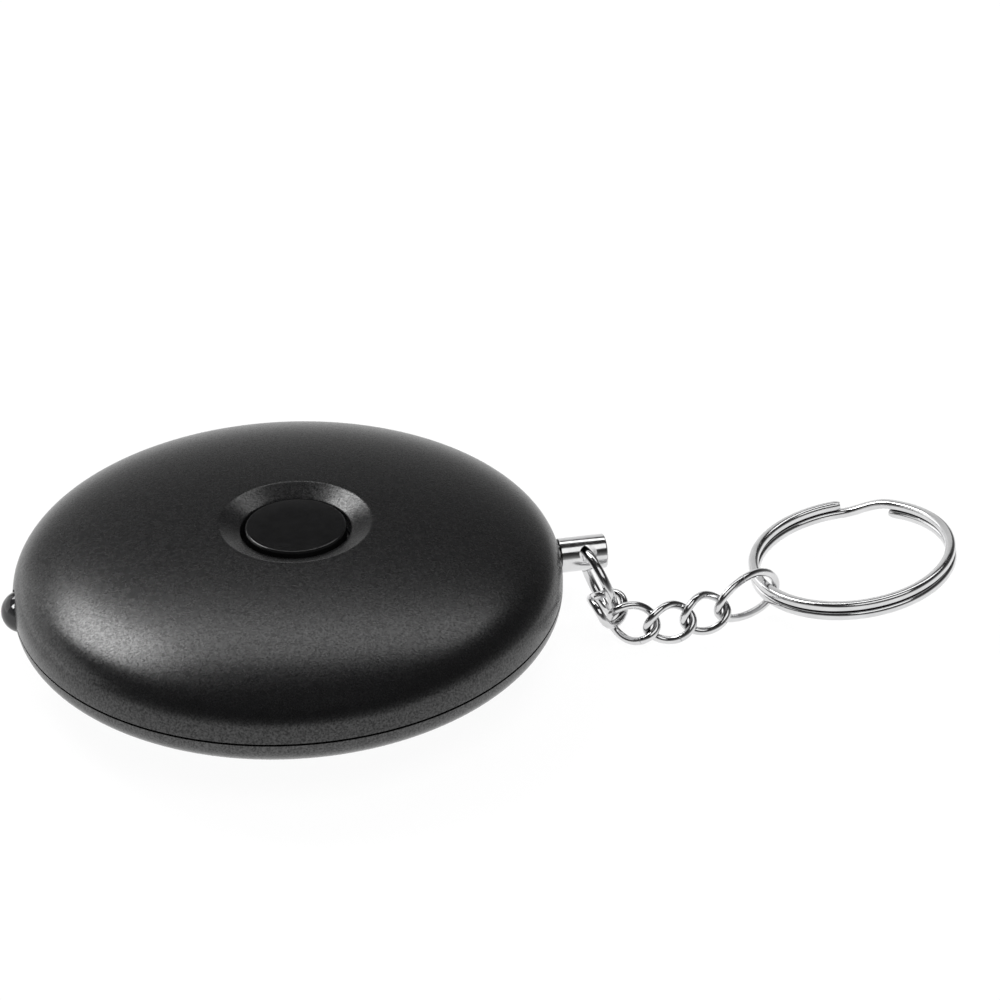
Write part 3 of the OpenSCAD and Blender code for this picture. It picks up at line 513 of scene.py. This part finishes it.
def unit(v):
    return v / np.linalg.norm(v)


def aim(heading, slope):
    """Direction at a heading from +X and a slope above the table, in degrees."""
    h, s = math.radians(heading), math.radians(slope)
    return np.array([math.cos(s) * math.cos(h), math.cos(s) * math.sin(h), math.sin(s)])


def rolled(x, roll):
    """Direction across x, turned about it from level by roll degrees."""
    level, r = unit(np.cross(Z, x)), math.radians(roll)
    return math.cos(r) * level + math.sin(r) * np.cross(x, level)


def wire(name, line, centre, axis, width, height, sides, closed, power=1.0, scale=None):
    """A wire of rounded section along a line; width lies away from centre, across axis if given."""
    n, rows = len(line), []
    a = 2 * np.pi * np.arange(sides) / sides
    ca, sa = np.cos(a), np.sin(a)
    for i, p in enumerate(line):
        ahead = line[(i + 1) % n] if closed else line[min(i + 1, n - 1)]
        behind = line[i - 1] if closed else line[max(i - 1, 0)]
        t, out = unit(ahead - behind), p - centre
        out = out - axis * (out @ axis)
        u = unit(out - t * (out @ t))
        v = np.cross(t, u)
        k = 1.0 if scale is None else scale[i]
        ring = np.outer(np.sign(ca) * np.abs(ca) ** power * width / 2 * k, u)
        rows.append(p + ring + np.outer(np.sign(sa) * np.abs(sa) ** power * height / 2 * k, v))
    if not closed:
        rows = [line[0].reshape(1, 3)] + rows + [line[-1].reshape(1, 3)]
    return build(name, *skin(rows, loop=closed))


def around(seam, count=120):
    """Angles round a link, closer together at its butt seam, and the wire's scale there."""
    fine = np.array([-1.2, -0.6, -0.3, 0, 0.3, 0.6, 1.2])
    dip = np.array([1, 1, 0.97, 0.84, 0.97, 1, 1])
    coarse = np.linspace(2.4, 357.6, count)
    return np.radians(seam + np.concatenate([fine, coarse])), np.concatenate([dip, np.ones(count)])


def oval(x, y, a, b, twist, t):
    """Wire line of a twisted oval link, from its centre."""
    w = math.radians(twist) * np.cos(t)
    s = b * np.sin(t)
    across = np.outer(s * np.cos(w), y) + np.outer(s * np.sin(w), np.cross(x, y))
    return np.outer(a * np.cos(t), x) + across


def hang(shape, degrees):
    """Point of a link's wire line from its centre, and the wire's direction there."""
    t = np.radians([degrees - 0.1, degrees, degrees + 0.1])
    line = oval(*shape, t)
    return line[1], unit(line[2] - line[0])


# Heading, slope and roll of the four curb links and of the ring's link, in degrees
LAY = [(-112, -1.5, -22), (-26, -5, 66), (2, 5, 70), (12, 5, 61), (26, 0, 86)]
hook = WIRE_D + LINK_GAP
lay_x = [aim(heading, slope) for heading, slope, roll in LAY]
lay_y = [rolled(x, roll) for x, (heading, slope, roll) in zip(lay_x, LAY)]
eye_down = np.array([0, -math.sin(EYE_TILT), -math.cos(EYE_TILT)])
first_x = math.cos(PIN_LINK_SWING) * X + math.sin(PIN_LINK_SWING) * eye_down
shapes = [(first_x, eye_axis, PIN_LINK_R, PIN_LINK_R, 0)]
shapes += [(lay_x[i], lay_y[i], LINK_A, LINK_B, LINK_TWIST) for i in range(4)]
shapes += [(lay_x[4], lay_y[4], RING_LINK_A, RING_LINK_B, RING_LINK_TWIST)]

# Centres: the first two curb links cross the wire that they hang on, at these angles round each
# link, and the others follow end to end
HANG_PIN, HANG_1, SIDE_1, HANG_2 = 49, 114, 87.5, 131
c0 = EYE + (PIN_LINK_R - PIN_LINK_SEAT) * first_x
(pin_at, pin_way), (top_at, top_way) = hang(shapes[0], HANG_PIN), hang(shapes[1], HANG_1)
(side_at, side_way), (next_at, next_way) = hang(shapes[1], SIDE_1), hang(shapes[2], HANG_2)
pin_hook = (WIRE_D + PIN_LINK_WIRE) / 2 + LINK_GAP
c1 = c0 + pin_at - top_at - pin_hook * unit(np.cross(pin_way, top_way))
c2 = c1 + side_at - next_at + hook * unit(np.cross(side_way, next_way))
c3 = c2 + LINK_A * (lay_x[1] + lay_x[2]) - hook * unit(lay_x[1] + lay_x[2])
c4 = c3 + LINK_A * (lay_x[2] + lay_x[3]) - hook * unit(lay_x[2] + lay_x[3])
c5 = c4 + LINK_A * lay_x[3] + RING_LINK_A * lay_x[4] - hook * unit(lay_x[3] + lay_x[4])

# Body, node and butt seam of each link
LINKS = [("pin_link", "pin_link", 250), ("link_1", "chain_link_1", 60),
         ("link_2", "chain_link_2", 300), ("link_3", "chain_link_3", 290),
         ("link_4", "chain_link_4", 310), ("ring_link", "ring_link", 100)]
for shape, c, (body, node, seam) in zip(shapes, (c0, c1, c2, c3, c4, c5), LINKS):
    t, scale = around(seam)
    thick = (PIN_LINK_WIRE if body == "pin_link" else WIRE_D) + WIRE_EXTRA
    line = c + oval(*shape, t)
    link = wire(node + "_wire", line, c, np.zeros(3), thick, thick, 20, True, 1.0, scale)
    dress(link, body, node, "plated_steel", 60)

# Split ring: two turns with a jog between them, leaning as it does on the key in the photograph
JOG_MID, JOG_HALF = 125, 15
RING_LEAN, RING_LEAN_WAY, RING_HEADING = 10, 155, 8
ring_n, ring_way = aim(RING_LEAN_WAY, 90 - RING_LEAN), aim(RING_HEADING, 0)
ring_out = unit(ring_way - ring_n * (ring_way @ ring_n))
ring_side = np.cross(ring_n, ring_out)
ring_r = (RING_D - RING_W) / 2
ring_c = c5 + RING_LINK_A * lay_x[4] - RING_SEAT * lay_x[4] + ring_r * ring_out
deg = np.linspace(JOG_MID - 360 + JOG_HALF, JOG_MID + 360 - JOG_HALF, 420)
lift = RING_STEP / 2 * np.sin(np.pi / 2 * np.clip((deg - JOG_MID) / JOG_HALF, -1, 1))
a = np.radians(deg)
line = ring_c + ring_r * (np.outer(-np.cos(a), ring_out) + np.outer(np.sin(a), ring_side))
line = line + np.outer(lift, ring_n)
ends = np.ones(len(deg))
ends[:3] = ends[-3:][::-1] = (0.7, 0.9, 0.98)
ring = wire("key_ring_wire", line, ring_c, ring_n, RING_W, RING_T, 20, False, 0.8, ends)
dress(ring, "key_ring", "split_ring", "plated_steel", 50)


# Floor: white in reflections, matt to the light. The camera sees through it to the white world,
# so the underside and a chain that hangs below the table stay in view.

FLOOR_HALF, FLOOR_DROP, FLOOR_WHITE = 3.0 / MM, 0.02, 0.95
corners = FLOOR_HALF * np.array([(-1, -1, 0), (1, -1, 0), (1, 1, 0), (-1, 1, 0)]) - FLOOR_DROP * Z
floor = build("floor", corners, [(0, 1, 2, 3)])
mat = bpy.data.materials.new("floor_white")
mat.use_nodes = True
nodes, links = mat.node_tree.nodes, mat.node_tree.links
nodes.clear()
output = nodes.new("ShaderNodeOutputMaterial")
path = nodes.new("ShaderNodeLightPath")
matt = nodes.new("ShaderNodeBsdfDiffuse")
matt.inputs["Color"].default_value = (0.8, 0.8, 0.8, 1)
shade = nodes.new("ShaderNodeBsdfDiffuse")
shade.inputs["Color"].default_value = (0.12, 0.12, 0.12, 1)
glow = nodes.new("ShaderNodeEmission")
glow.inputs["Strength"].default_value = FLOOR_WHITE
clear = nodes.new("ShaderNodeBsdfTransparent")
clear.inputs["Color"].default_value = (FLOOR_WHITE, FLOOR_WHITE, FLOOR_WHITE, 1)
ground = mixed(nodes, links, path.outputs["Is Camera Ray"], glow.outputs[0], clear.outputs[0])
both = nodes.new("ShaderNodeAddShader")
links.new(shade.outputs[0], both.inputs[0])
links.new(ground, both.inputs[1])
seen = path.outputs["Is Camera Ray"]
for ray in ("Is Glossy Ray", "Is Transmission Ray"):
    either = nodes.new("ShaderNodeMath")
    either.operation = "MAXIMUM"
    links.new(seen, either.inputs[0])
    links.new(path.outputs[ray], either.inputs[1])
    seen = either.outputs[0]
links.new(mixed(nodes, links, seen, matt.outputs[0], both.outputs[0]), output.inputs["Surface"])
floor.data.materials.append(mat)


# Lamps

LAMP_FAR, LAMP_TARGET = 0.9, Vector((0.02, 0, 0.01))


def softbox(name, azimuth, elevation, width, height, watts):
    """A soft lamp aimed at the case, in degrees and metres; azimuth 0 is the front, 90 the right."""
    lamp_data = bpy.data.lights.new(name, "AREA")
    lamp_data.shape = "RECTANGLE"
    lamp_data.size, lamp_data.size_y, lamp_data.energy = width, height, watts
    obj = bpy.data.objects.new(name, lamp_data)
    scene.collection.objects.link(obj)
    a, e = math.radians(azimuth), math.radians(elevation)
    way = Vector((math.sin(a) * math.cos(e), -math.cos(a) * math.cos(e), math.sin(e)))
    obj.location = LAMP_TARGET + way * LAMP_FAR
    obj.rotation_euler = (-way).to_track_quat("-Z", "Y").to_euler()
    return obj


def only_on(light, names):
    """Lets a lamp reach the named pieces alone."""
    group = bpy.data.collections.new(light.name + "_on")
    for name in names:
        group.objects.link(bpy.data.objects[name])
    light.light_linking.receiver_collection = group


softbox("key", -143, 47, 0.32, 0.32, 2.65)
softbox("back", 162, 57, 0.78, 0.22, 1.2)
softbox("left_card", -120, 14, 1.0, 0.6, 1.6)
softbox("top_fill", 10, 65, 0.5, 0.5, 2.4).visible_glossy = False
plated = ["pull_pin_bar", "key_ring_wire"] + [node + "_wire" for body, node, seam in LINKS]
only_on(softbox("metal_top", 12, 62, 0.8, 0.5, 1.6), plated)
only_on(softbox("metal_back", -168, 24, 1.4, 0.5, 1.4), plated)
only_on(softbox("lamp_glint", -76, 42, 0.25, 0.25, 3.6), ["lamp_dome"])


# World: pale at the horizon, dark overhead, dimmer in front and at the right back. The camera
# sees plain white in its place.

SKY = ((0.09, 0.5), (0.26, 0.22), (0.42, 0.08), (0.57, 0.03))
HORIZON, ZENITH = 0.95, 0.02
world = bpy.data.worlds.new("studio")
scene.world = world
world.use_nodes = True
nodes, links = world.node_tree.nodes, world.node_tree.links
nodes.clear()
place = nodes.new("ShaderNodeTexCoord")
split = nodes.new("ShaderNodeSeparateXYZ")
links.new(place.outputs["Generated"], split.inputs[0])
ramp = nodes.new("ShaderNodeValToRGB")
for position, grey in SKY:
    ramp.color_ramp.elements.new(position).color = (grey, grey, grey, 1)
ramp.color_ramp.elements[0].color = (HORIZON, HORIZON, HORIZON, 1)
ramp.color_ramp.elements[-1].color = (ZENITH, ZENITH, ZENITH, 1)
links.new(split.outputs["Z"], ramp.inputs["Fac"])
right = nodes.new("ShaderNodeVectorMath")
right.operation = "DOT_PRODUCT"
right.inputs[1].default_value = (0.87, 0.5, 0)
links.new(place.outputs["Generated"], right.inputs[0])
level = nodes.new("ShaderNodeMath")
level.operation = "MULTIPLY"
links.new(spread(nodes, links, split.outputs["Y"], 0.55, 1.1, -1.0, -0.45), level.inputs[0])
links.new(spread(nodes, links, right.outputs["Value"], 1.0, 0.4, 0.8, 0.97), level.inputs[1])
sky = nodes.new("ShaderNodeBackground")
links.new(ramp.outputs["Color"], sky.inputs["Color"])
links.new(level.outputs[0], sky.inputs["Strength"])
backdrop = nodes.new("ShaderNodeBackground")
backdrop.inputs["Color"].default_value = (1, 1, 1, 1)
path = nodes.new("ShaderNodeLightPath")
done = nodes.new("ShaderNodeOutputWorld")
studio = mixed(nodes, links, path.outputs["Is Camera Ray"], sky.outputs[0], backdrop.outputs[0])
links.new(studio, done.inputs["Surface"])

scene.view_settings.view_transform = "Standard"

bpy.context.view_layer.update()
